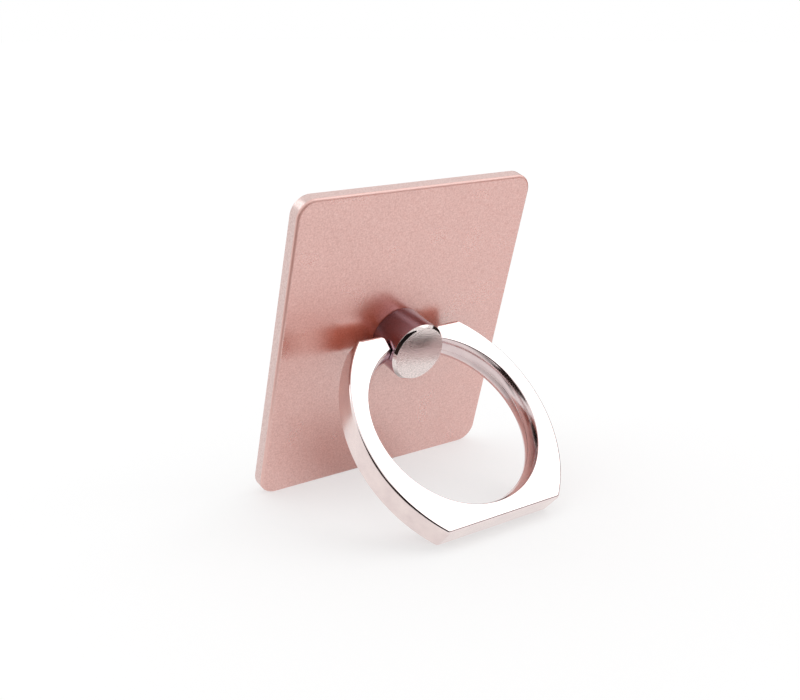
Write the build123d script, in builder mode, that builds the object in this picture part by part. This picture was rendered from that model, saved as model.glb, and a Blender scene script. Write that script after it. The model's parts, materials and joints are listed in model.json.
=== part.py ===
from build123d import *
from math import asin, atan2, cos, hypot, radians, sin, sqrt
import os

# Phone ring holder: a face plate with an adhesive back, a post that swivels in the plate
# and a finger ring that folds on the post. It stands as it does under a phone, on the lower
# edge of the plate and on the foot of the ring.
# Millimetres, +Z up, X across the plate. The ring is on the -Y side, the adhesive on the +Y side.

# Face plate
plate_width = 34.5
plate_height = 40.0
plate_thickness = 1.8
plate_corner_radius = 2.3
plate_front_bevel = 0.22
plate_rear_bevel = 0.12

# Adhesive pad on the back of the plate
pad_thickness = 0.8
pad_inset = 0.8

# Swivel post, turned in one piece with the shank that is riveted over behind the plate
post_radius = 3.82
post_length = 4.84
post_rim_length = 0.38
post_rim_width = 0.33
post_seat_gap = 0.05
shank_radius = 1.8
shank_clearance = 0.05
rivet_head_radius = 2.8
rivet_head_thickness = 0.28
rivet_head_bevel = 0.1

# Washers under the rivet head, in the round recess behind the plate
rivet_washer_radius = 4.2
rivet_washer_thickness = 0.25
spring_radius = 4.8
spring_thickness = 0.25
spring_dish = 0.15
spring_gap = 0.02
recess_side_clearance = 0.6
recess_end_clearance = 0.05

# Hinge pin, pressed through the post, with its ends in blind holes in the ring
hinge_height = 2.2
pin_radius = 0.6
pin_press_gap = 0.01
pin_running_gap = 0.03
pin_engagement = 2.4
pin_end_gap = 0.15
pin_bevel = 0.1

# Finger ring, measured from the hinge axis in the plane of the ring
ring_angle = 61.6
ring_thickness = 3.5
ring_hole_radius = 11.37
ring_hole_crown = 0.55
ring_side_wall = 2.19
ring_foot_wall = 1.83
ring_end_depth = 1.05
ring_heel_height = 1.0
ring_heel_width = 15.3
ring_foot_width = 16.9
ring_post_gap = 0.09
ring_heel_corner_radius = 0.7
ring_outer_corner_radius = 0.7
ring_edge_radius = 0.28
ring_hole_bevel = 0.15

# Stack behind the plate, as depths below its front face
recess_depth = (
    spring_gap + spring_dish + spring_thickness + rivet_washer_thickness
    + rivet_head_thickness + recess_end_clearance
)
recess_floor = plate_thickness - recess_depth
recess_radius = spring_radius + recess_side_clearance
spring_face = recess_floor + spring_gap
rivet_washer_face = spring_face + spring_dish + spring_thickness
rivet_head_face = rivet_washer_face + rivet_washer_thickness
rivet_head_end = rivet_head_face + rivet_head_thickness
shank_hole_radius = shank_radius + shank_clearance

# Ring outline, as distances from the hinge axis
ring_end_reach = post_radius + ring_post_gap
ring_hole_reach = ring_end_depth + sqrt(ring_hole_radius**2 - ring_end_reach**2)
ring_foot_reach = ring_hole_reach + ring_hole_radius + ring_foot_wall
ring_half_width = ring_hole_radius + ring_side_wall
half_thickness = ring_thickness / 2

# Where the rounded edges of the foot lie in front of the plate and below the hinge
tilt = radians(ring_angle)
foot_edge_reach = ring_foot_reach - ring_edge_radius
foot_edge_depth = half_thickness - ring_edge_radius
lower_edge_ahead = hinge_height + foot_edge_reach * sin(tilt) - foot_edge_depth * cos(tilt)
lower_edge_drop = foot_edge_reach * cos(tilt) + foot_edge_depth * sin(tilt)
upper_edge_ahead = hinge_height + foot_edge_reach * sin(tilt) + foot_edge_depth * cos(tilt)
upper_edge_drop = foot_edge_reach * cos(tilt) - foot_edge_depth * sin(tilt)

# The plate leans over the ring until its lower edge and the foot meet the same floor
foot_ahead = lower_edge_ahead + plate_front_bevel
foot_rise = plate_height / 2 - lower_edge_drop
lean = atan2(foot_rise, foot_ahead) - asin(ring_edge_radius / hypot(foot_ahead, foot_rise))
centre_height = plate_height / 2 * cos(lean) - plate_front_bevel * sin(lean)

# The origin lies on the floor under the middle of the object's depth
front_reach = upper_edge_ahead * cos(lean) - upper_edge_drop * sin(lean) + ring_edge_radius
pad_edge_drop = plate_height / 2 - pad_inset
rear_reach = (plate_thickness + pad_thickness) * cos(lean) + pad_edge_drop * sin(lean)
centre_depth = (front_reach - rear_reach) / 2

# Working planes: the plate's front face, the ring's middle plane and the sections they turn in
plate_front = Plane(
    origin=(0, centre_depth, centre_height),
    x_dir=(1, 0, 0),
    z_dir=(0, -cos(lean), -sin(lean)),
)
plate_rear = plate_front.offset(-plate_thickness)
ring_middle = plate_front.offset(hinge_height).rotated((-ring_angle, 0, 0))
pin_section = Plane(origin=ring_middle.origin, x_dir=plate_front.y_dir, z_dir=plate_front.x_dir)
hole_centre = ring_middle.origin - ring_middle.y_dir * ring_hole_reach


def section_of(plane, origin):
    """A plane through the plane's normal: x stays across, y runs along the normal."""
    return Plane(origin=origin, x_dir=plane.x_dir, z_dir=-plane.y_dir)


post_section = section_of(plate_front, plate_front.origin)
post_axis = Axis(plate_front.origin, plate_front.z_dir)
hole_section = section_of(ring_middle, hole_centre)
hole_axis = Axis(hole_centre, ring_middle.z_dir)


# Face plate: rounded rectangle with a bevelled front edge, a bore for the shank
# and a round recess behind for the washers and the rivet head
with BuildPart() as face_plate:
    with BuildSketch(plate_front):
        RectangleRounded(plate_width, plate_height, plate_corner_radius)
    extrude(amount=-plate_thickness)
    plate_faces = face_plate.faces().sort_by(post_axis)
    rear_edges = plate_faces[0].edges()
    front_edges = plate_faces[-1].edges()
    chamfer(front_edges, plate_front_bevel)
    chamfer(rear_edges, plate_rear_bevel)
    with BuildSketch(plate_front):
        Circle(shank_hole_radius)
    extrude(amount=-plate_thickness, mode=Mode.SUBTRACT)
    with BuildSketch(plate_rear):
        Circle(recess_radius)
    extrude(amount=recess_depth, mode=Mode.SUBTRACT)

# Adhesive pad: a sheet cut a little inside the plate's outline
with BuildPart() as adhesive_pad:
    with BuildSketch(plate_rear):
        RectangleRounded(
            plate_width - 2 * pad_inset,
            plate_height - 2 * pad_inset,
            plate_corner_radius,
        )
    extrude(amount=-pad_thickness)

# Swivel post: head with a bevelled rim, shank and peened rivet head, bored across for the pin
with BuildPart() as swivel_post:
    with BuildSketch(post_section):
        with BuildLine():
            Polyline(
                (0, post_length),
                (post_radius - post_rim_width, post_length),
                (post_radius, post_length - post_rim_length),
                (post_radius, post_seat_gap),
                (shank_radius, post_seat_gap),
                (shank_radius, -rivet_head_face),
                (rivet_head_radius, -rivet_head_face),
                (rivet_head_radius, rivet_head_bevel - rivet_head_end),
                (rivet_head_radius - rivet_head_bevel, -rivet_head_end),
                (0, -rivet_head_end),
                close=True,
            )
        make_face()
    revolve(axis=post_axis)
    with BuildSketch(pin_section):
        Circle(pin_radius + pin_press_gap)
    extrude(amount=post_radius, both=True, mode=Mode.SUBTRACT)

# Spring washer: a dished ring that bears on the recess with its outer edge
with BuildPart() as spring_washer:
    with BuildSketch(post_section):
        with BuildLine():
            Polyline(
                (shank_hole_radius, -spring_face - spring_dish),
                (spring_radius, -spring_face),
                (spring_radius, -spring_face - spring_thickness),
                (shank_hole_radius, -rivet_washer_face),
                close=True,
            )
        make_face()
    revolve(axis=post_axis)

# Rivet washer: a flat ring between the spring washer and the rivet head
with BuildPart() as rivet_washer:
    with BuildSketch(plate_front.offset(-rivet_washer_face)):
        Circle(rivet_washer_radius)
        Circle(shank_hole_radius, mode=Mode.SUBTRACT)
    extrude(amount=-rivet_washer_thickness)

# Hinge pin: a plain pin with bevelled ends
with BuildPart() as hinge_pin:
    with BuildSketch(pin_section):
        Circle(pin_radius)
    extrude(amount=ring_end_reach + pin_engagement, both=True)
    chamfer(hinge_pin.edges().filter_by(GeomType.CIRCLE), pin_bevel)

# Finger ring: bowed sides between a flat heel and a flat foot, a round hole with a crowned wall,
# and a gap in the heel where the two ends take the post between them
with BuildPart() as finger_ring:
    with BuildSketch(ring_middle):
        with BuildLine():
            Line((-ring_heel_width / 2, ring_heel_height), (ring_heel_width / 2, ring_heel_height))
            ThreePointArc(
                (ring_heel_width / 2, ring_heel_height),
                (ring_half_width, -ring_hole_reach),
                (ring_foot_width / 2, -ring_foot_reach),
            )
            Line((ring_foot_width / 2, -ring_foot_reach), (-ring_foot_width / 2, -ring_foot_reach))
            ThreePointArc(
                (-ring_foot_width / 2, -ring_foot_reach),
                (-ring_half_width, -ring_hole_reach),
                (-ring_heel_width / 2, ring_heel_height),
            )
        make_face()
    extrude(amount=half_thickness, both=True)
    fillet(finger_ring.edges().filter_by(hole_axis), ring_outer_corner_radius)
    ring_faces = finger_ring.faces().sort_by(hole_axis)
    fillet(ring_faces[0].edges() + ring_faces[-1].edges(), ring_edge_radius)
    with BuildSketch(hole_section) as ring_wall:
        with BuildLine():
            ThreePointArc(
                (ring_hole_radius, -half_thickness),
                (ring_hole_radius - ring_hole_crown, 0),
                (ring_hole_radius, half_thickness),
            )
            Polyline(
                (ring_hole_radius, half_thickness),
                (ring_foot_reach, half_thickness),
                (ring_foot_reach, -half_thickness),
                (ring_hole_radius, -half_thickness),
            )
        make_face()
        chamfer(ring_wall.vertices().group_by(Axis.X)[0], ring_hole_bevel)
    revolve(axis=hole_axis, mode=Mode.INTERSECT)
    with BuildSketch(ring_middle) as heel_gap:
        with Locations((0, ring_heel_height)):
            Rectangle(2 * ring_end_reach, ring_hole_reach, align=(Align.CENTER, Align.MAX))
            Rectangle(ring_heel_width, ring_hole_reach, align=(Align.CENTER, Align.MIN))
        gap_corners = heel_gap.vertices().group_by(Axis.Y)[1].sort_by(Axis.X)[1:-1]
        fillet(gap_corners, ring_heel_corner_radius)
    extrude(amount=half_thickness, both=True, mode=Mode.SUBTRACT)
    for side in (-1, 1):
        with BuildSketch(pin_section.offset(side * ring_end_reach)):
            Circle(pin_radius + pin_running_gap)
        extrude(amount=side * (pin_engagement + pin_end_gap), mode=Mode.SUBTRACT)

sub_parts = {
    "face_plate": face_plate,
    "adhesive_pad": adhesive_pad,
    "swivel_post": swivel_post,
    "spring_washer": spring_washer,
    "rivet_washer": rivet_washer,
    "hinge_pin": hinge_pin,
    "finger_ring": finger_ring,
}
os.makedirs("parts", exist_ok=True)
for name, builder in sub_parts.items():
    builder.part.label = name
    export_step(builder.part, f"parts/{name}.step")
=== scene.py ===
import json
from math import atan2, cos, hypot, pi, radians, sin, sqrt, tan

import bmesh
import bpy
from mathutils import Matrix, Vector


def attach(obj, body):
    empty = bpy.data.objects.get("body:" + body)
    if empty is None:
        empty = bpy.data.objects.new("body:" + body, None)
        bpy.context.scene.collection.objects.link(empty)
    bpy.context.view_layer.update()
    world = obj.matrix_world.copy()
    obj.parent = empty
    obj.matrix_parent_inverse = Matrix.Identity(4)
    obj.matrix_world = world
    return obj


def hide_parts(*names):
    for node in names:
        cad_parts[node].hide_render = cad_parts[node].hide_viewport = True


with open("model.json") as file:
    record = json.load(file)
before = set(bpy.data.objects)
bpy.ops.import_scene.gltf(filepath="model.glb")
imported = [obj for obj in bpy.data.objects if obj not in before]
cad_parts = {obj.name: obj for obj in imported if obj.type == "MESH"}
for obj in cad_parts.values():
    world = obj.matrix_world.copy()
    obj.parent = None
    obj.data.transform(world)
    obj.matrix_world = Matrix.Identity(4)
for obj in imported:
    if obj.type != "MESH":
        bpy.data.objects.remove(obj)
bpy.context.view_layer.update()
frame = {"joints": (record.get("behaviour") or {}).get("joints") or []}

# Phone ring holder: a rose gold face plate with an adhesive back, a turned post that swivels in it
# and a chromed finger ring hinged on the post. Sizes are in metres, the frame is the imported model's.
mm = 0.001

# Face plate and adhesive pad
plate_width = 34.5 * mm
plate_height = 40.0 * mm
plate_thickness = 1.8 * mm
plate_corner_radius = 2.3 * mm
plate_rear_bevel = 0.12 * mm
plate_front_round = 0.4 * mm
plate_edge_ease = 0.07 * mm
pad_thickness = 0.8 * mm
pad_inset = 0.8 * mm
pad_edge_ease = 0.12 * mm

# Turned pieces: post, washers and hinge pin
post_radius = 3.82 * mm
post_length = 4.84 * mm
post_rim_length = 0.38 * mm
post_rim_width = 0.33 * mm
post_seat_gap = 0.05 * mm
post_edge_ease = 0.05 * mm
shank_radius = 1.8 * mm
shank_hole_radius = 1.85 * mm
rivet_head_radius = 2.8 * mm
rivet_head_bevel = 0.1 * mm
rivet_washer_radius = 4.2 * mm
spring_radius = 4.8 * mm
spring_dish = 0.15 * mm
spring_thickness = 0.25 * mm
recess_radius = 5.4 * mm
washer_ease = 0.03 * mm
pin_radius = 0.6 * mm
pin_half_length = 6.31 * mm
pin_bevel = 0.1 * mm
pin_press_gap = 0.01 * mm
pin_running_gap = 0.03 * mm
pin_hole_depth = 2.55 * mm

# Depths behind the plate's front face
recess_floor = 0.8 * mm
spring_face = 0.82 * mm
rivet_washer_face = 1.22 * mm
rivet_head_face = 1.47 * mm
rivet_head_end = 1.75 * mm

# Finger ring, measured from the hinge axis in the plane of the ring
ring_thickness = 3.5 * mm
ring_hole_radius = 11.37 * mm
ring_hole_crown = 0.55 * mm
ring_half_width = 13.56 * mm
ring_hole_reach = 11.7266 * mm
ring_foot_reach = 24.925 * mm
ring_heel_height = 1.0 * mm
ring_heel_width = 15.3 * mm
ring_foot_width = 16.9 * mm
ring_end_reach = 3.91 * mm
ring_heel_corner_radius = 0.7 * mm
ring_outer_corner_radius = 0.7 * mm
ring_edge_radius = 0.28 * mm
ring_hole_edge_radius = 0.18 * mm
ring_heel_edge_radius = 0.5 * mm
parting_line_width = 0.1 * mm
parting_line_height = 0.03 * mm

# Where the pieces lie in the frame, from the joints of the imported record
joints = {joint["name"]: joint for joint in frame["joints"]}
plate_centre = Vector(joints["post_swivel"]["pos_m"])
hinge_point = Vector(joints["ring_hinge"]["pos_m"])
across = Vector((1, 0, 0))
plate_front = Vector(joints["post_swivel"]["axis"]).normalized()
plate_up = plate_front.cross(across)
ring_angle = radians(joints["ring_hinge"]["range_deg"][1])
ring_heelward = plate_up * cos(ring_angle) - plate_front * sin(ring_angle)
ring_front = across.cross(ring_heelward)


def placed(origin, x_axis, y_axis, z_axis):
    """The matrix that carries a piece from its own axes into the frame."""
    turn = Matrix((x_axis, y_axis, z_axis)).transposed().to_4x4()
    return Matrix.Translation(origin) @ turn


plate_place = placed(plate_centre, across, plate_up, plate_front)
ring_place = placed(hinge_point, across, ring_heelward, ring_front)
pin_place = placed(hinge_point, plate_up, plate_front, across)
plate_ways = (plate_front, -plate_front, plate_up, -plate_up, across, -across)
ring_ways = (ring_front, -ring_front, ring_heelward, -ring_heelward, across, -across)


# Outlines and sections
def arc_points(centre, radius, start, end, steps, end_radius=None):
    """Points along an arc, both ends included. The radius may change on the way."""
    points = []
    for i in range(steps + 1):
        t = i / steps
        r = radius if end_radius is None else radius + (end_radius - radius) * t
        a = start + (end - start) * t
        points.append((centre[0] + r * cos(a), centre[1] + r * sin(a)))
    return points


def line_points(start, end, steps):
    """Points along a straight run, both ends included."""
    shares = [i / steps for i in range(steps + 1)]
    return [(start[0] + (end[0] - start[0]) * t, start[1] + (end[1] - start[1]) * t) for t in shares]


def chained(*runs):
    """One path from runs that start where the last one ended."""
    path = list(runs[0])
    for run in runs[1:]:
        path += run[1:]
    return path


def eased(corners, radius, steps=3):
    """A section with each inner corner rounded off."""
    path = [corners[0]]
    for before, corner, after in zip(corners, corners[1:], corners[2:]):
        corner = Vector(corner)
        back = Vector(before) - corner
        ahead = Vector(after) - corner
        half_angle = back.angle(ahead) / 2
        run = min(radius / tan(half_angle), 0.45 * back.length, 0.45 * ahead.length)
        start = corner + back.normalized() * run
        end = corner + ahead.normalized() * run
        for i in range(steps + 1):
            t = i / steps
            path.append(tuple(start.lerp(corner, t).lerp(corner.lerp(end, t), t)))
    path.append(corners[-1])
    return path


def rounded_outline(width, height, radius, inset, corner_steps=14):
    """A rounded rectangle, drawn in by the inset."""
    x, y = width / 2 - radius, height / 2 - radius
    path = []
    for i, (sx, sy) in enumerate(((1, 1), (-1, 1), (-1, -1), (1, -1))):
        path += arc_points((sx * x, sy * y), radius - inset, i * pi / 2, (i + 1) * pi / 2, corner_steps)
    return path


def circle_through(a, b, c):
    """Centre and radius of the circle through three points."""
    a, b, c = Vector(a), Vector(b), Vector(c)
    d = 2 * (a.x * (b.y - c.y) + b.x * (c.y - a.y) + c.x * (a.y - b.y))
    aa, bb, cc = a.dot(a), b.dot(b), c.dot(c)
    x = (aa * (b.y - c.y) + bb * (c.y - a.y) + cc * (a.y - b.y)) / d
    y = (aa * (c.x - b.x) + bb * (a.x - c.x) + cc * (b.x - a.x)) / d
    return (x, y), hypot(a.x - x, a.y - y)


# Mesh making
def new_piece(name, mesh):
    """A piece at the origin, with its place in its mesh."""
    piece = bpy.data.objects.new(name, mesh)
    bpy.context.scene.collection.objects.link(piece)
    return piece


def solid_mesh(name, points, faces, place):
    """A closed mesh with its faces turned outwards, carried into the frame."""
    mesh = bpy.data.meshes.new(name)
    mesh.from_pydata(points, [], faces)
    work = bmesh.new()
    work.from_mesh(mesh)
    bmesh.ops.remove_doubles(work, verts=work.verts, dist=0.0001 * mm)
    bmesh.ops.recalc_face_normals(work, faces=work.faces)
    work.to_mesh(mesh)
    work.free()
    mesh.transform(place)
    return mesh


def lofted(loops, closed):
    """Quads between loops of equal length, and back to the first loop if closed."""
    count = len(loops[0])
    points = [point for loop in loops for point in loop]
    faces = []
    pairs = len(loops) if closed else len(loops) - 1
    for level in range(pairs):
        low, high = level * count, (level + 1) % len(loops) * count
        for i in range(count):
            j = (i + 1) % count
            faces.append((low + i, low + j, high + j, high + i))
    return points, faces


def plain(piece):
    """The piece with its modifiers turned into a plain mesh."""
    evaluated = piece.evaluated_get(bpy.context.evaluated_depsgraph_get())
    mesh = bpy.data.meshes.new_from_object(evaluated)
    piece.modifiers.clear()
    piece.data = mesh
    return piece


def crisp_and_smooth(piece, flat_ways, angle=32):
    """Smooth shading between crisp edges, with faces that look a flat way kept flat to the edge."""
    mesh = piece.data
    mesh.shade_smooth()
    mesh.set_sharp_from_angle(angle=radians(angle))
    shading = [corner.vector.copy() for corner in mesh.corner_normals]
    flat_at = {}
    for face in mesh.polygons:
        for way in flat_ways:
            if face.normal.dot(way) > 0.99999:
                for point in face.vertices:
                    flat_at.setdefault(point, []).append(way)
    for face in mesh.polygons:
        for corner, point in zip(face.loop_indices, face.vertices):
            for way in flat_at.get(point, ()):
                if face.normal.dot(way) > cos(radians(angle)):
                    shading[corner] = way
    mesh.normals_split_custom_set(shading)
    return piece


def bored(piece, place, radius, start, end):
    """The piece with a round hole along the place's z axis."""
    bore_mesh = bpy.data.meshes.new("bore")
    work = bmesh.new()
    bmesh.ops.create_cone(
        work, cap_ends=True, segments=64, radius1=radius, radius2=radius, depth=end - start
    )
    work.to_mesh(bore_mesh)
    work.free()
    bore_mesh.transform(place @ Matrix.Translation((0, 0, (start + end) / 2)))
    bore = new_piece("bore", bore_mesh)
    cut = piece.modifiers.new("bore", "BOOLEAN")
    cut.operation = "DIFFERENCE"
    cut.solver = "EXACT"
    cut.object = bore
    plain(piece)
    bpy.data.objects.remove(bore)
    return piece


# Finishes
def new_finish(name):
    """A material with a metal or plastic shader and the piece's own coordinates."""
    finish = bpy.data.materials.new(name)
    finish.use_nodes = True
    nodes = finish.node_tree.nodes
    shader = nodes["Principled BSDF"]
    place = nodes.new("ShaderNodeTexCoord").outputs["Object"]
    return finish, shader, place


def add_node(finish, kind, **settings):
    """A node with its properties set."""
    node = finish.node_tree.nodes.new(kind)
    for key, value in settings.items():
        setattr(node, key, value)
    return node


def join(finish, output, socket):
    finish.node_tree.links.new(output, socket)


def own_axes(finish, place, piece_place):
    """Coordinates along a piece's own axes."""
    turned_back = add_node(finish, "ShaderNodeMapping", vector_type="TEXTURE")
    turned_back.inputs["Location"].default_value = piece_place.to_translation()
    turned_back.inputs["Rotation"].default_value = piece_place.to_euler()
    join(finish, place, turned_back.inputs["Vector"])
    return turned_back.outputs["Vector"]


def grain(finish, place, size, detail=2.0, stretch=(1, 1, 1)):
    """Noise with spots of about that size, from 0 to 1."""
    mapping = add_node(finish, "ShaderNodeMapping")
    mapping.inputs["Scale"].default_value = stretch
    noise = add_node(finish, "ShaderNodeTexNoise")
    noise.inputs["Scale"].default_value = 1 / size
    noise.inputs["Detail"].default_value = detail
    join(finish, place, mapping.inputs["Vector"])
    join(finish, mapping.outputs["Vector"], noise.inputs["Vector"])
    return noise.outputs["Fac"]


def spread(finish, value, low, high, from_low=0.3, from_high=0.7):
    """The value spread over another range."""
    ramp = add_node(finish, "ShaderNodeMapRange")
    ramp.inputs["From Min"].default_value = from_low
    ramp.inputs["From Max"].default_value = from_high
    ramp.inputs["To Min"].default_value = low
    ramp.inputs["To Max"].default_value = high
    join(finish, value, ramp.inputs["Value"])
    return ramp.outputs["Result"]


def either(finish, rule, first, second):
    """Two values put together by a rule."""
    both = add_node(finish, "ShaderNodeMath", operation=rule)
    join(finish, first, both.inputs[0])
    join(finish, second, both.inputs[1])
    return both.outputs["Value"]


def tinted(finish, value, low, high):
    """A colour between two, by the value."""
    mix = add_node(finish, "ShaderNodeMix", data_type="RGBA")
    colours = [socket for socket in mix.inputs if socket.type == "RGBA"]
    colours[0].default_value = (*low, 1)
    colours[1].default_value = (*high, 1)
    join(finish, value, mix.inputs["Factor"])
    return [socket for socket in mix.outputs if socket.type == "RGBA"][0]


def bumped(finish, shader, height, depth, strength=1.0):
    """Relief of that depth from a height between 0 and 1."""
    bump = add_node(finish, "ShaderNodeBump")
    bump.inputs["Strength"].default_value = strength
    bump.inputs["Distance"].default_value = depth
    join(finish, height, bump.inputs["Height"])
    join(finish, bump.outputs["Normal"], shader.inputs["Normal"])


def rose_gold_satin(name, pigment, flake_dark, flake_light, flake_share, smooth, rough):
    """Rose gold lacquer: fine bright metal flake in a red pigment, over a blasted surface."""
    finish, shader, place = new_finish(name)
    shader.inputs["Metallic"].default_value = 1.0
    fine = grain(finish, place, 0.2 * mm, 3.0)
    cloud = grain(finish, place, 5.0 * mm, 1.0)
    colour = tinted(finish, spread(finish, fine, 0, 1), flake_dark, flake_light)
    join(finish, colour, shader.inputs["Base Color"])
    join(finish, spread(finish, cloud, smooth, rough), shader.inputs["Roughness"])
    bumped(finish, shader, fine, 0.012 * mm, 0.45)
    body = add_node(finish, "ShaderNodeBsdfPrincipled")
    body.inputs["Base Color"].default_value = (*pigment, 1)
    body.inputs["Roughness"].default_value = 0.6
    body.inputs["Specular IOR Level"].default_value = 0.0
    lacquer = add_node(finish, "ShaderNodeMixShader")
    lacquer.inputs["Fac"].default_value = flake_share
    join(finish, body.outputs["BSDF"], lacquer.inputs[1])
    join(finish, shader.outputs["BSDF"], lacquer.inputs[2])
    join(finish, lacquer.outputs["Shader"], finish.node_tree.nodes["Material Output"].inputs["Surface"])
    return finish


def chrome(name, dull, bright, smooth, rough, streak_depth):
    """Chrome plating on the finger ring, with a haze and fine streaks from polishing along it."""
    finish, shader, place = new_finish(name)
    shader.inputs["Metallic"].default_value = 1.0
    haze = grain(finish, place, 1.6 * mm, 4.0)
    streaks = grain(finish, own_axes(finish, place, ring_place), 0.16 * mm, 3.0, (0.05, 0.05, 1))
    colour = tinted(finish, spread(finish, haze, 0, 1), dull, bright)
    join(finish, colour, shader.inputs["Base Color"])
    join(finish, spread(finish, haze, smooth, rough), shader.inputs["Roughness"])
    bumped(finish, shader, streaks, streak_depth, 0.5)
    return finish


def post_chrome():
    """Polished side and rim of the post, and a blasted satin face on its end. The side below the rim is
    coloured a darker purple as a painted reflection of the rose plate.
    """
    finish, shader, place = new_finish("post_chrome")
    shader.inputs["Metallic"].default_value = 1.0
    fine = grain(finish, place, 0.17 * mm, 3.0)
    split = add_node(finish, "ShaderNodeSeparateXYZ")
    join(finish, own_axes(finish, place, plate_place), split.inputs["Vector"])
    height = split.outputs["Z"]
    on_face = spread(finish, height, 0, 1, post_length - 0.012 * mm, post_length - 0.006 * mm)
    rim_start = post_length - post_rim_length
    on_rim = spread(finish, height, 0, 1, rim_start - 0.04 * mm, rim_start)
    silver = tinted(finish, spread(finish, fine, 0, 1), (0.66, 0.58, 0.56), (0.9, 0.79, 0.77))
    colour = add_node(finish, "ShaderNodeMix", data_type="RGBA")
    painted_side_and_silver = [socket for socket in colour.inputs if socket.type == "RGBA"]
    # Side below the rim: darker purple colour, a painted reflection of the rose plate; the rim and end
    # face stay silver.
    painted_side_and_silver[0].default_value = (0.45, 0.32, 0.375, 1)
    join(finish, on_rim, colour.inputs["Factor"])
    join(finish, silver, painted_side_and_silver[1])
    shade = [socket for socket in colour.outputs if socket.type == "RGBA"][0]
    join(finish, shade, shader.inputs["Base Color"])
    satin = spread(finish, fine, 0.09, 0.15)
    blend = add_node(finish, "ShaderNodeMix", data_type="FLOAT")
    blend.inputs["A"].default_value = 0.06
    join(finish, on_face, blend.inputs["Factor"])
    join(finish, satin, blend.inputs["B"])
    join(finish, blend.outputs["Result"], shader.inputs["Roughness"])
    bumped(finish, shader, either(finish, "MULTIPLY", fine, on_face), 0.009 * mm, 0.8)
    return finish


def plain_steel():
    """Bright plain steel of the washers and the pin, with fine drawn marks."""
    finish, shader, place = new_finish("plain_steel")
    shader.inputs["Metallic"].default_value = 1.0
    marks = grain(finish, place, 0.15 * mm, 2.0, (0.15, 1, 1))
    colour = tinted(finish, spread(finish, marks, 0, 1), (0.5, 0.5, 0.51), (0.64, 0.64, 0.65))
    join(finish, colour, shader.inputs["Base Color"])
    join(finish, spread(finish, marks, 0.22, 0.36), shader.inputs["Roughness"])
    bumped(finish, shader, marks, 0.004 * mm, 0.5)
    return finish


def tacky_sheet():
    """Pale adhesive sheet with the fine dimpled face of foam tape."""
    finish, shader, place = new_finish("tacky_sheet")
    cells = add_node(finish, "ShaderNodeTexVoronoi", feature="SMOOTH_F1")
    cells.inputs["Scale"].default_value = 1 / (0.35 * mm)
    join(finish, place, cells.inputs["Vector"])
    cloud = grain(finish, place, 4.0 * mm, 3.0)
    colour = tinted(finish, spread(finish, cloud, 0, 1), (0.785, 0.785, 0.765), (0.815, 0.815, 0.795))
    join(finish, colour, shader.inputs["Base Color"])
    join(finish, spread(finish, cloud, 0.38, 0.5), shader.inputs["Roughness"])
    shader.inputs["Specular IOR Level"].default_value = 0.4
    bumped(finish, shader, cells.outputs["Distance"], 0.03 * mm, 0.35)
    return finish


# Face plate and adhesive pad
def raised(outline, height):
    return [(x, y, height) for x, y in outline]


def matched_circle(outline, radius):
    """A circle with one point under each point of an outline, seen from the middle."""
    angles = [atan2(y, x) for x, y in outline]
    return [(radius * cos(a), radius * sin(a)) for a in angles]


def make_face_plate():
    """Rectangular plate with a rounded front edge, a bore for the shank and a recess behind."""
    front_edge = arc_points(
        (plate_front_round, -plate_front_round), plate_front_round, pi / 2, pi, 10
    )
    rear_edge = eased(
        [
            (0, -plate_front_round),
            (0, -plate_thickness + plate_rear_bevel),
            (plate_rear_bevel, -plate_thickness),
            (plate_rear_bevel * 2, -plate_thickness),
        ],
        plate_edge_ease,
    )
    edge_section = [(plate_front_round * 1.5, 0)] + chained(front_edge, rear_edge)
    size = (plate_width, plate_height, plate_corner_radius)
    outline = rounded_outline(*size, 0)
    loops = [raised(matched_circle(outline, shank_hole_radius), 0)]
    loops += [raised(rounded_outline(*size, inset), height) for inset, height in edge_section]
    loops.append(raised(matched_circle(outline, recess_radius), -plate_thickness))
    loops.append(raised(matched_circle(outline, recess_radius), -recess_floor))
    loops.append(raised(matched_circle(outline, shank_hole_radius), -recess_floor))
    points, faces = lofted(loops, closed=True)
    plate = new_piece("rose_gold_plate", solid_mesh("rose_gold_plate", points, faces, plate_place))
    crisp_and_smooth(plate, plate_ways)
    finish_plate(plate)
    return plate


def finish_plate(plate):
    """Gives the face its lacquer, the rounded front edge a softer one and the side walls a paler one."""
    face_finish = rose_gold_satin(
        "rose_gold_satin", (0.74, 0.11, 0.04), (0.61, 0.57, 0.555), (0.885, 0.825, 0.8), 0.6, 0.27, 0.32
    )
    edge_finish = rose_gold_satin(
        "rose_gold_edge", (0.76, 0.24, 0.17), (0.74, 0.68, 0.66), (0.84, 0.78, 0.76), 0.52, 0.4, 0.46
    )
    side_finish = rose_gold_satin(
        "rose_gold_sides", (0.7, 0.19, 0.12), (0.58, 0.545, 0.535), (0.83, 0.79, 0.775), 0.72, 0.3, 0.36
    )
    for finish in (face_finish, edge_finish, side_finish):
        plate.data.materials.append(finish)
    for face in plate.data.polygons:
        facing = face.normal.dot(plate_front)
        depth = (face.center - plate_centre).dot(plate_front)
        on_front = -plate_front_round < depth < 0
        if on_front and 0.15 < facing < 0.97:
            face.material_index = 1
        elif abs(facing) <= 0.15 and depth > -plate_thickness:
            face.material_index = 2


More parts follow.
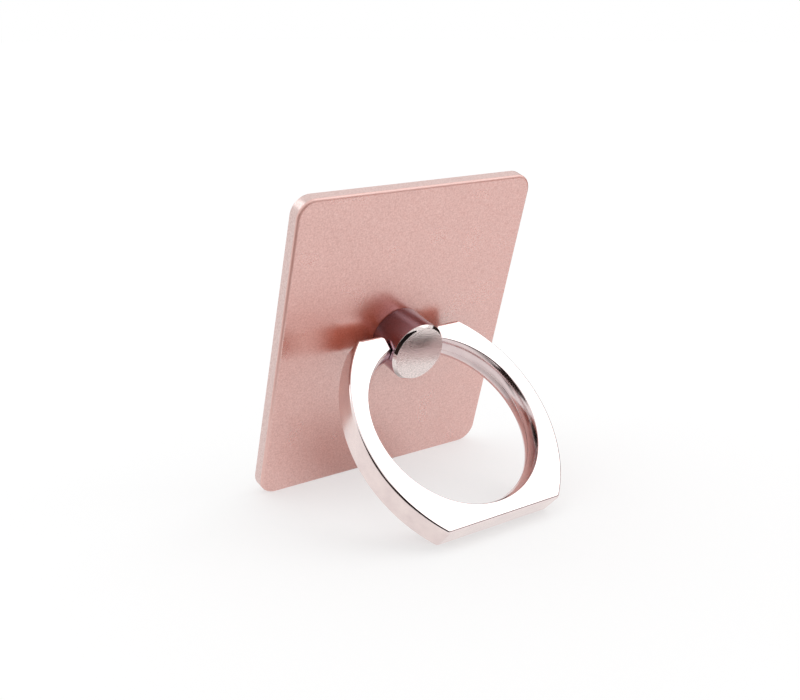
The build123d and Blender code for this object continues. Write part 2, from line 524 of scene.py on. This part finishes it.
def make_adhesive_pad():
    """Adhesive sheet behind the plate, with soft cut edges."""
    edge_section = eased(
        [
            (2 * pad_edge_ease, -plate_thickness),
            (0, -plate_thickness),
            (0, -plate_thickness - pad_thickness),
            (2 * pad_edge_ease, -plate_thickness - pad_thickness),
        ],
        pad_edge_ease,
        5,
    )
    size = (plate_width - 2 * pad_inset, plate_height - 2 * pad_inset, plate_corner_radius)
    loops = [raised(rounded_outline(*size, inset), height) for inset, height in edge_section]
    points, faces = lofted(loops, closed=False)
    count = len(loops[0])
    faces.append(tuple(range(count)))
    faces.append(tuple(range(len(points) - count, len(points))))
    pad = new_piece("adhesive_sheet", solid_mesh("adhesive_sheet", points, faces, plate_place))
    crisp_and_smooth(pad, plate_ways)
    pad.data.materials.append(tacky_sheet())
    return pad


# Finger ring
crown_radius = (ring_thickness**2 / 4 + ring_hole_crown**2) / (2 * ring_hole_crown)
crown_centre = ring_hole_radius - ring_hole_crown + crown_radius
edge_level = ring_thickness / 2 - ring_edge_radius
hole_level = ring_thickness / 2 - ring_hole_edge_radius
hole_edge_centre = crown_centre - sqrt((crown_radius - ring_hole_edge_radius) ** 2 - hole_level**2)
hole_edge_level = hole_level * crown_radius / (crown_radius - ring_hole_edge_radius)


def edge_inset(level, radius):
    """How far a rounded outer edge is drawn in at a level of the ring's thickness."""
    over = max(abs(level) - ring_thickness / 2 + radius, 0)
    return radius - sqrt(max(radius**2 - over**2, 0))


def hole_radius_at(level):
    """Radius of the crowned hole at a level, with its rounded edges and its parting line."""
    height = abs(level)
    if height > hole_edge_level:
        over = height - hole_level
        return hole_edge_centre - sqrt(max(ring_hole_edge_radius**2 - over**2, 0))
    ridge = parting_line_height * max(1 - 2 * height / parting_line_width, 0)
    return crown_centre - sqrt(crown_radius**2 - level**2) - ridge


def ring_levels(edge_steps=8, wall_steps=11):
    """Levels through the ring's thickness, close together at the edges and the parting line."""
    upper = [edge_level + ring_edge_radius * cos(pi / 2 * i / edge_steps) for i in range(edge_steps)]
    upper += [edge_level * (1 - i / wall_steps) for i in range(wall_steps)]
    upper.append(parting_line_width / 2)
    return upper + [0] + [-level for level in reversed(upper)]


def ring_half_paths(level):
    """Outer path from the foot's middle to the gap, and hole path from there to its lowest point."""
    inset = edge_inset(level, ring_edge_radius)
    heel_inset = edge_inset(level, ring_heel_edge_radius)
    hole = hole_radius_at(level)
    foot_y, heel_y, hole_y = -ring_foot_reach, ring_heel_height, -ring_hole_reach
    side_centre, side_radius = circle_through(
        (ring_heel_width / 2, heel_y), (ring_half_width, hole_y), (ring_foot_width / 2, foot_y)
    )
    corner = ring_outer_corner_radius
    foot_corner_y, heel_corner_y = foot_y + corner, heel_y - corner
    side_x, side_y = side_centre
    corner_reach = side_radius - corner
    foot_corner_x = side_x + sqrt(corner_reach**2 - (foot_corner_y - side_y) ** 2)
    heel_corner_x = side_x + sqrt(corner_reach**2 - (heel_corner_y - side_y) ** 2)
    side_start = atan2(foot_corner_y - side_y, foot_corner_x - side_x)
    side_end = atan2(heel_corner_y - side_y, heel_corner_x - side_x)
    foot_corner, heel_corner = (foot_corner_x, foot_corner_y), (heel_corner_x, heel_corner_y)
    gap_corner = ring_heel_corner_radius
    gap_centre = (ring_end_reach + gap_corner, heel_y - gap_corner)
    gap_x = ring_end_reach + inset
    gap_end_y = hole_y + sqrt(hole**2 - gap_x**2)
    outer = chained(
        line_points((0, foot_y + inset), (foot_corner_x, foot_y + inset), 6),
        arc_points(foot_corner, corner - inset, -pi / 2, side_start, 8),
        arc_points(side_centre, side_radius - inset, side_start, side_end, 80),
        arc_points(heel_corner, corner - inset, side_end, pi / 2, 8, corner - heel_inset),
        line_points((heel_corner_x, heel_y - heel_inset), (gap_centre[0], heel_y - heel_inset), 4),
        arc_points(gap_centre, gap_corner - heel_inset, pi / 2, pi, 12, gap_corner - inset),
        line_points((gap_x, gap_centre[1]), (gap_x, gap_end_y), 8),
    )
    inner = arc_points((0, hole_y), hole, atan2(gap_end_y - hole_y, gap_x), -pi / 2, 120)
    return outer, inner


def ring_loop(level):
    """The ring's boundary at one level: right half, then the left half as its mirror image."""
    outer, inner = ring_half_paths(level)
    right = chained(outer, inner)
    left = [(-x, y) for x, y in reversed(right[1:-1])]
    return [(x, y, level) for x, y in right + left]


def zipped(first, second):
    """Triangles between two chains of points that start together."""
    faces = []
    i, j = 0, 0
    while i < len(first) - 1 or j < len(second) - 1:
        share_first = i / (len(first) - 1)
        share_second = j / (len(second) - 1)
        if j == len(second) - 1 or (i < len(first) - 1 and share_first <= share_second):
            faces.append((first[i], first[i + 1], second[j]))
            i += 1
        else:
            faces.append((first[i], second[j + 1], second[j]))
            j += 1
    return [face for face in faces if len(set(face)) == 3]


def ring_face(first_index, count):
    """Triangles of the flat C-shaped face bounded by one loop."""
    outer, inner = ring_half_paths(0)
    turn = len(outer) - 1
    low = turn + len(inner) - 1
    right_outer = list(range(turn, -1, -1))
    right_inner = list(range(turn, low + 1))
    left_inner = list(range(count - turn, low - 1, -1))
    left_outer = list(range(count - turn, count)) + [0]
    faces = zipped(right_outer, right_inner) + zipped(left_outer, left_inner)
    return [tuple(first_index + i for i in face) for face in faces]


def make_finger_ring():
    """Ring with bowed sides, a flat heel and foot, a crowned hole and a gap for the post."""
    loops = [ring_loop(level) for level in ring_levels()]
    points, faces = lofted(loops, closed=False)
    count = len(loops[0])
    faces += ring_face(0, count) + ring_face(len(points) - count, count)
    ring = new_piece("chrome_ring", solid_mesh("chrome_ring", points, faces, ring_place))
    hole_start = ring_end_reach - ring_heel_corner_radius
    hole_end = ring_end_reach + pin_hole_depth
    for start, end in ((hole_start, hole_end), (-hole_end, -hole_start)):
        bored(ring, pin_place, pin_radius + pin_running_gap, start, end)
    crisp_and_smooth(ring, ring_ways)
    polished = chrome("polished_chrome", (0.82, 0.71, 0.7), (0.87, 0.76, 0.75), 0.08, 0.13, 0.0005 * mm)
    brushed = chrome("brushed_chrome", (0.78, 0.655, 0.64), (0.87, 0.745, 0.715), 0.18, 0.26, 0.004 * mm)
    # The wall of the hole takes a rougher copy of the chrome whose darker colour is painted shade in the
    # hole.
    hazy_shaded = chrome("hazy_shaded_chrome", (0.7, 0.575, 0.58), (0.78, 0.655, 0.645), 0.12, 0.18, 0.002 * mm)
    for finish in (polished, brushed, hazy_shaded):
        ring.data.materials.append(finish)
    hole_centre = hinge_point - ring_heelward * ring_hole_reach
    for face in ring.data.polygons:
        outwards = face.normal.dot((face.center - hole_centre).normalized())
        # Faces turned into the hole get the darker chrome with painted shade, outer sides the brushed
        # one.
        if abs(face.normal.dot(ring_front)) < 0.75:
            face.material_index = 2 if outwards < -0.3 else 0
        if outwards > 0.3 and abs(face.normal.dot(ring_front)) < 0.4:
            face.material_index = 1
    return ring


# Turned pieces
def turning_tree():
    """Geometry nodes that turn a section, drawn as radius and height, about its axis."""
    tree = bpy.data.node_groups.new("turned_piece", "GeometryNodeTree")
    face = tree.interface
    face.new_socket("Section", in_out="INPUT", socket_type="NodeSocketGeometry")
    face.new_socket("Segments", in_out="INPUT", socket_type="NodeSocketInt")
    face.new_socket("Finish", in_out="INPUT", socket_type="NodeSocketMaterial")
    face.new_socket("Piece", in_out="OUTPUT", socket_type="NodeSocketGeometry")
    nodes, links = tree.nodes, tree.links
    given = nodes.new("NodeGroupInput")
    result = nodes.new("NodeGroupOutput")
    section = nodes.new("GeometryNodeMeshToCurve")
    axis = nodes.new("GeometryNodeCurvePrimitiveCircle")
    axis.mode = "RADIUS"
    axis.inputs["Radius"].default_value = turning_radius
    sweep = nodes.new("GeometryNodeCurveToMesh")
    weld = nodes.new("GeometryNodeMergeByDistance")
    weld.inputs["Distance"].default_value = 0.0001 * mm
    real = nodes.new("GeometryNodeRealizeInstances")
    finish = nodes.new("GeometryNodeSetMaterial")
    links.new(given.outputs["Section"], section.inputs["Mesh"])
    links.new(given.outputs["Segments"], axis.inputs["Resolution"])
    links.new(axis.outputs["Curve"], sweep.inputs["Curve"])
    links.new(section.outputs["Curve"], sweep.inputs["Profile Curve"])
    links.new(sweep.outputs["Mesh"], weld.inputs["Geometry"])
    links.new(weld.outputs["Geometry"], real.inputs["Geometry"])
    links.new(real.outputs["Geometry"], finish.inputs["Geometry"])
    links.new(given.outputs["Finish"], finish.inputs["Material"])
    links.new(finish.outputs["Geometry"], result.inputs["Piece"])
    return tree


turning_radius = 1.0 * mm
turning = turning_tree()


def turned(name, section, finish, place, closed=False, segments=160):
    """A piece turned from a section of radius and height, placed along its axis."""
    mesh = bpy.data.meshes.new(name)
    count = len(section)
    edges = [(i, i + 1) for i in range(count - 1)]
    if closed:
        edges.append((count - 1, 0))
    mesh.from_pydata([(radius - turning_radius, -height, 0) for radius, height in section], edges, [])
    piece = new_piece(name, mesh)
    lathe = piece.modifiers.new("turning", "NODES")
    lathe.node_group = turning
    sockets = {item.name: item.identifier for item in turning.interface.items_tree}
    lathe[sockets["Segments"]] = segments
    lathe[sockets["Finish"]] = finish
    plain(piece)
    work = bmesh.new()
    work.from_mesh(piece.data)
    bmesh.ops.recalc_face_normals(work, faces=work.faces)
    work.to_mesh(piece.data)
    work.free()
    piece.data.transform(place)
    return piece


def make_post():
    """Post with a bevelled rim, its shank and the peened rivet head, bored across for the pin."""
    section = eased(
        [
            (0, post_length),
            (post_radius - post_rim_width, post_length),
            (post_radius, post_length - post_rim_length),
            (post_radius, post_seat_gap),
            (shank_radius, post_seat_gap),
            (shank_radius, -rivet_head_face),
            (rivet_head_radius, -rivet_head_face),
            (rivet_head_radius, rivet_head_bevel - rivet_head_end),
            (rivet_head_radius - rivet_head_bevel, -rivet_head_end),
            (0, -rivet_head_end),
        ],
        post_edge_ease,
    )
    post = turned("turned_post", section, post_chrome(), plate_place)
    bored(post, pin_place, pin_radius + pin_press_gap, -post_radius, post_radius)
    return crisp_and_smooth(post, plate_ways[:2])


def make_washers_and_pin(steel):
    """Spring washer, rivet washer and hinge pin."""
    spring = [
        (shank_hole_radius, -spring_face - spring_dish),
        (spring_radius, -spring_face),
        (spring_radius, -spring_face - spring_thickness),
        (shank_hole_radius, -rivet_washer_face),
    ]
    flat = [
        (shank_hole_radius, -rivet_washer_face),
        (rivet_washer_radius, -rivet_washer_face),
        (rivet_washer_radius, -rivet_head_face),
        (shank_hole_radius, -rivet_head_face),
    ]
    pin = [
        (0, pin_half_length),
        (pin_radius - pin_bevel, pin_half_length),
        (pin_radius, pin_half_length - pin_bevel),
        (pin_radius, pin_bevel - pin_half_length),
        (pin_radius - pin_bevel, -pin_half_length),
        (0, -pin_half_length),
    ]
    made = {
        "spring_washer": turned("dished_washer", spring, steel, plate_place, True, 96),
        "rivet_washer": turned("flat_washer", flat, steel, plate_place, True, 96),
        "hinge_pin": turned("steel_pin", eased(pin, washer_ease), steel, pin_place, False, 64),
    }
    for piece in made.values():
        crisp_and_smooth(piece, plate_ways[:2])
    return made


# Studio: floor, light and camera
def make_floor():
    """Plain white floor that keeps the shadow. In reflections it carries a painted shadow by the plate
    and a painted dark strip at the left.
    """
    mesh = bpy.data.meshes.new("studio_floor")
    work = bmesh.new()
    bmesh.ops.create_circle(work, cap_ends=True, segments=96, radius=1.6)
    work.to_mesh(mesh)
    work.free()
    floor = new_piece("studio_floor", mesh)
    painted_shadow_centre = (-3 * mm, 9 * mm, 0)
    to_the_left = (-0.87, -0.5, 0)
    white_to_camera = 0.5
    white_to_mirrors = 0.8
    finish, shader, place = new_finish("floor_white")
    shader.inputs["Base Color"].default_value = (0.93, 0.93, 0.93, 1)
    shader.inputs["Roughness"].default_value = 0.9
    shader.inputs["Specular IOR Level"].default_value = 0.0
    white = add_node(finish, "ShaderNodeEmission")
    ray = add_node(finish, "ShaderNodeLightPath")
    mirrored = either(finish, "MAXIMUM", ray.outputs["Is Glossy Ray"], ray.outputs["Is Transmission Ray"])
    apart = add_node(finish, "ShaderNodeVectorMath", operation="DISTANCE")
    apart.inputs[1].default_value = painted_shadow_centre
    leftward = add_node(finish, "ShaderNodeVectorMath", operation="DOT_PRODUCT")
    leftward.inputs[1].default_value = to_the_left
    join(finish, place, apart.inputs[0])
    join(finish, place, leftward.inputs[0])
    # Painted shade for reflections only: the white that mirrors see is dimmed around the plate's foot
    # (painted shadow) and in a strip to the left.
    shadow = spread(finish, apart.outputs["Value"], 0.5, 0, 3 * mm, 11 * mm)
    strip_start = spread(finish, leftward.outputs["Value"], 0, 0.9, 20 * mm, 42 * mm)
    strip_end = spread(finish, leftward.outputs["Value"], 1, 0, 60 * mm, 80 * mm)
    split = add_node(finish, "ShaderNodeSeparateXYZ")
    join(finish, place, split.inputs["Vector"])
    strip_side = spread(finish, split.outputs["Y"], 1, 0, 8 * mm, 30 * mm)
    painted_left_strip = either(finish, "MULTIPLY", strip_start, strip_end)
    painted_left_strip = either(finish, "MULTIPLY", painted_left_strip, strip_side)
    dark = either(finish, "MULTIPLY", mirrored, either(finish, "MAXIMUM", shadow, painted_left_strip))
    strength = add_node(finish, "ShaderNodeMath", operation="SUBTRACT")
    strength.inputs[0].default_value = 1
    join(finish, dark, strength.inputs[1])
    join(finish, strength.outputs["Value"], white.inputs["Strength"])
    seen = add_node(finish, "ShaderNodeMath", operation="MULTIPLY")
    seen.inputs[1].default_value = white_to_camera
    share = add_node(finish, "ShaderNodeMath", operation="MULTIPLY_ADD")
    share.inputs[1].default_value = white_to_mirrors
    blend = add_node(finish, "ShaderNodeMixShader")
    join(finish, ray.outputs["Is Camera Ray"], seen.inputs[0])
    join(finish, mirrored, share.inputs[0])
    join(finish, seen.outputs["Value"], share.inputs[2])
    join(finish, share.outputs["Value"], blend.inputs["Fac"])
    join(finish, shader.outputs["BSDF"], blend.inputs[1])
    join(finish, white.outputs["Emission"], blend.inputs[2])
    join(finish, blend.outputs["Shader"], finish.node_tree.nodes["Material Output"].inputs["Surface"])
    floor.data.materials.append(finish)


def make_world():
    """White surround for every ray."""
    world = bpy.data.worlds.new("white_surround")
    bpy.context.scene.world = world
    world.use_nodes = True
    background = world.node_tree.nodes["Background"]
    background.inputs["Color"].default_value = (1, 1, 1, 1)
    background.inputs["Strength"].default_value = 1.0


def make_softbox():
    """One broad soft light from the upper right of the front."""
    light = bpy.data.lights.new("softbox", "SUN")
    light.energy = 0.4
    light.angle = radians(44)
    softbox = bpy.data.objects.new("softbox", light)
    softbox.rotation_mode = "QUATERNION"
    upper_right = Vector((0.578, -0.265, 0.772))
    softbox.rotation_quaternion = upper_right.to_track_quat("Z", "Y")
    bpy.context.scene.collection.objects.link(softbox)


def seen_by_reflections(piece):
    """Stages a piece of the studio that only reflections see."""
    piece.visible_camera = False
    piece.visible_diffuse = False
    piece.visible_transmission = False
    piece.visible_shadow = False


def make_dark_screen(name, distance, colour, stations, lift=0):
    """A dark screen part of the way round the object, through stations of azimuth and height."""
    points = []
    for azimuth, height in stations:
        x, y = distance * sin(radians(azimuth)), -distance * cos(radians(azimuth))
        points += [(x, y, lift), (x, y, height)]
    faces = [(2 * i, 2 * i + 2, 2 * i + 3, 2 * i + 1) for i in range(len(stations) - 1)]
    mesh = bpy.data.meshes.new(name)
    mesh.from_pydata(points, [], faces)
    screen = new_piece(name, mesh)
    finish, shader, _ = new_finish(name)
    shader.inputs["Base Color"].default_value = (*colour, 1)
    shader.inputs["Roughness"].default_value = 0.9
    shader.inputs["Specular IOR Level"].default_value = 0.0
    mesh.materials.append(finish)
    seen_by_reflections(screen)


def make_bright_card():
    """A bright card behind the plate's upper left corner, for its highlight."""
    card_radius = 55 * mm
    card_distance = 220 * mm
    mesh = bpy.data.meshes.new("bright_card")
    work = bmesh.new()
    bmesh.ops.create_circle(work, cap_ends=True, segments=48, radius=card_radius)
    work.to_mesh(mesh)
    work.free()
    behind_corner = Vector((-0.477, 0.478, 0.739))
    turn = behind_corner.to_track_quat("Z", "Y").to_matrix().to_4x4()
    mesh.transform(Matrix.Translation(behind_corner * card_distance) @ turn)
    card = new_piece("bright_card", mesh)
    finish, shader, _ = new_finish("bright_card")
    shader.inputs["Base Color"].default_value = (0, 0, 0, 1)
    shader.inputs["Emission Color"].default_value = (1, 1, 1, 1)
    shader.inputs["Emission Strength"].default_value = 2.0
    mesh.materials.append(finish)
    seen_by_reflections(card)


def make_camera():
    """Camera at the photograph's viewing angle."""
    camera = bpy.data.cameras.new("camera")
    camera.lens = 53.749
    camera.sensor_width = 36
    camera.clip_start = 0.01
    holder = bpy.data.objects.new("camera", camera)
    holder.location = (-86.393 * mm, -108.299 * mm, 59.773 * mm)
    target = Vector((-2.240 * mm, 2.982 * mm, 18.472 * mm))
    holder.rotation_mode = "QUATERNION"
    holder.rotation_quaternion = (target - holder.location).to_track_quat("-Z", "Y")
    bpy.context.scene.collection.objects.link(holder)
    bpy.context.scene.camera = holder


bpy.context.scene.view_settings.view_transform = "Standard"
make_camera()
make_world()
make_floor()
make_softbox()
left_stations = [(-89, 0.036), (-78, 0.036), (-66, 0.036), (-50, 0.034)]
camera_stations = [(-58, 0.07), (-45, 0.1), (-30, 0.125), (-15, 0.14), (0, 0.145), (12, 0.14)]
front_stations = [(12, 0.08), (20, 0.07), (34, 0.1), (48, 0.1), (65, 0.085)]
right_stations = [(72, 0.055), (90, 0.055), (112, 0.05)]
back_stations = [(115, 0.07), (135, 0.07), (155, 0.07), (175, 0.07), (190, 0.07)]
make_dark_screen("back_screen", 0.2, (0.05, 0.04, 0.04), back_stations)
make_dark_screen("left_screen", 0.037, (0.03, 0.02, 0.017), left_stations)
make_dark_screen("camera_screen", 0.15, (0.012, 0.01, 0.01), camera_stations)
make_dark_screen("front_screen", 0.15, (0.08, 0.03, 0.032), front_stations, 0.03)
make_dark_screen("right_screen", 0.12, (0.03, 0.02, 0.017), right_stations)
make_bright_card()

steel = plain_steel()
made = {
    "face_plate": (make_face_plate(), "base", "plate_finish"),
    "adhesive_pad": (make_adhesive_pad(), "base", "adhesive"),
    "swivel_post": (make_post(), "swivel", "post_metal"),
    "finger_ring": (make_finger_ring(), "ring", "ring_chrome"),
}
for node, piece in make_washers_and_pin(steel).items():
    made[node] = (piece, "swivel", "steel")
for node, (piece, body, slot) in made.items():
    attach(piece, body)
    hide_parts(node)
